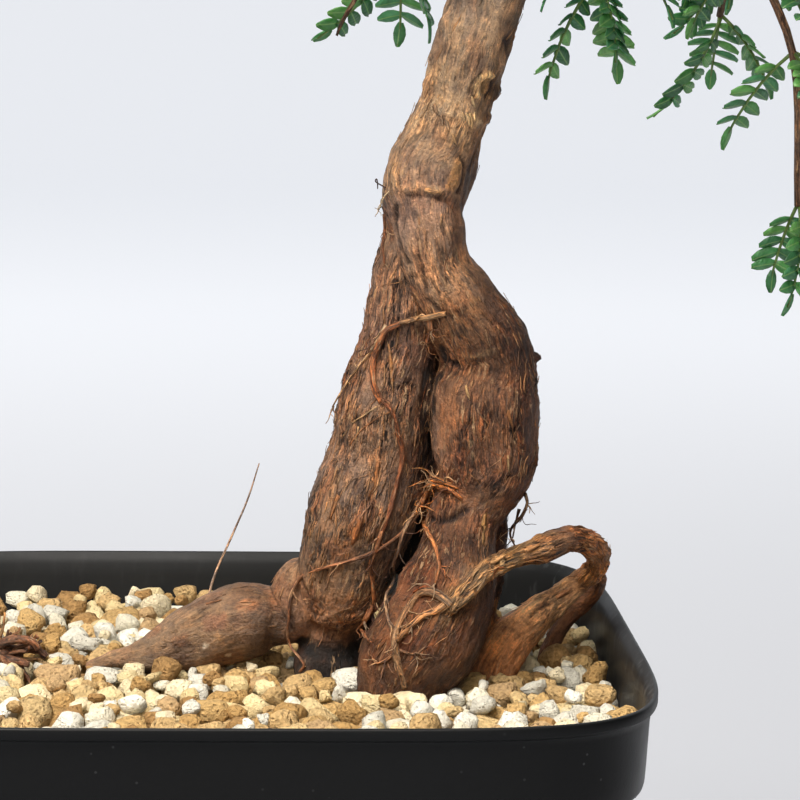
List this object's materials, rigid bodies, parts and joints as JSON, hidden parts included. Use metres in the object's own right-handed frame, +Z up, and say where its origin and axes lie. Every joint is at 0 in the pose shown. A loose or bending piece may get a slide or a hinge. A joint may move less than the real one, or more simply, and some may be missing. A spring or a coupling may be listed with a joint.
{
  "type": "operculicarya pachypus bonsai",
  "caption": "Caudex bonsai with swollen, crossing root legs, side tubers, zigzag branches and small pinnate leaves, in a square black nursery pot of grit.",
  "frame": {"origin": "middle of the pot's underside, on the surface the pot stands on", "axes": "+Z up along the pot's height, -Y out of the pot's front, +X towards the side the trunk stands on"},
  "size_m": [0.1765, 0.136, 0.304],
  "materials": {
    "pot_plastic": "fine matte moulded polypropylene, a little dusty",
    "grit": "dry akadama and pumice grains",
    "bark": "rough fissured bark, grey-brown above and red-brown on the roots",
    "dry_bark": "dry frayed root fibre",
    "leaf": "small satin green leaflets"
  },
  "bodies": {
    "root": {"pot": "pot_plastic", "soil": "grit", "wood": "bark", "dry_root": "dry_bark", "spray_back_hanging": "leaf", "spray_back_low": "leaf", "spray_back_long": "leaf", "spray_right_upper": "leaf", "spray_right_tip": "leaf", "spray_left_hanging": "leaf", "spray_left_back": "leaf", "spray_left_upper": "leaf", "spray_left_tip": "leaf", "spray_left_front": "leaf", "spray_front_left": "leaf", "spray_front_right": "leaf", "spray_top_left": "leaf", "spray_top_right": "leaf", "spray_top_front": "leaf", "spray_top": "leaf"}
  },
  "joints": []
}
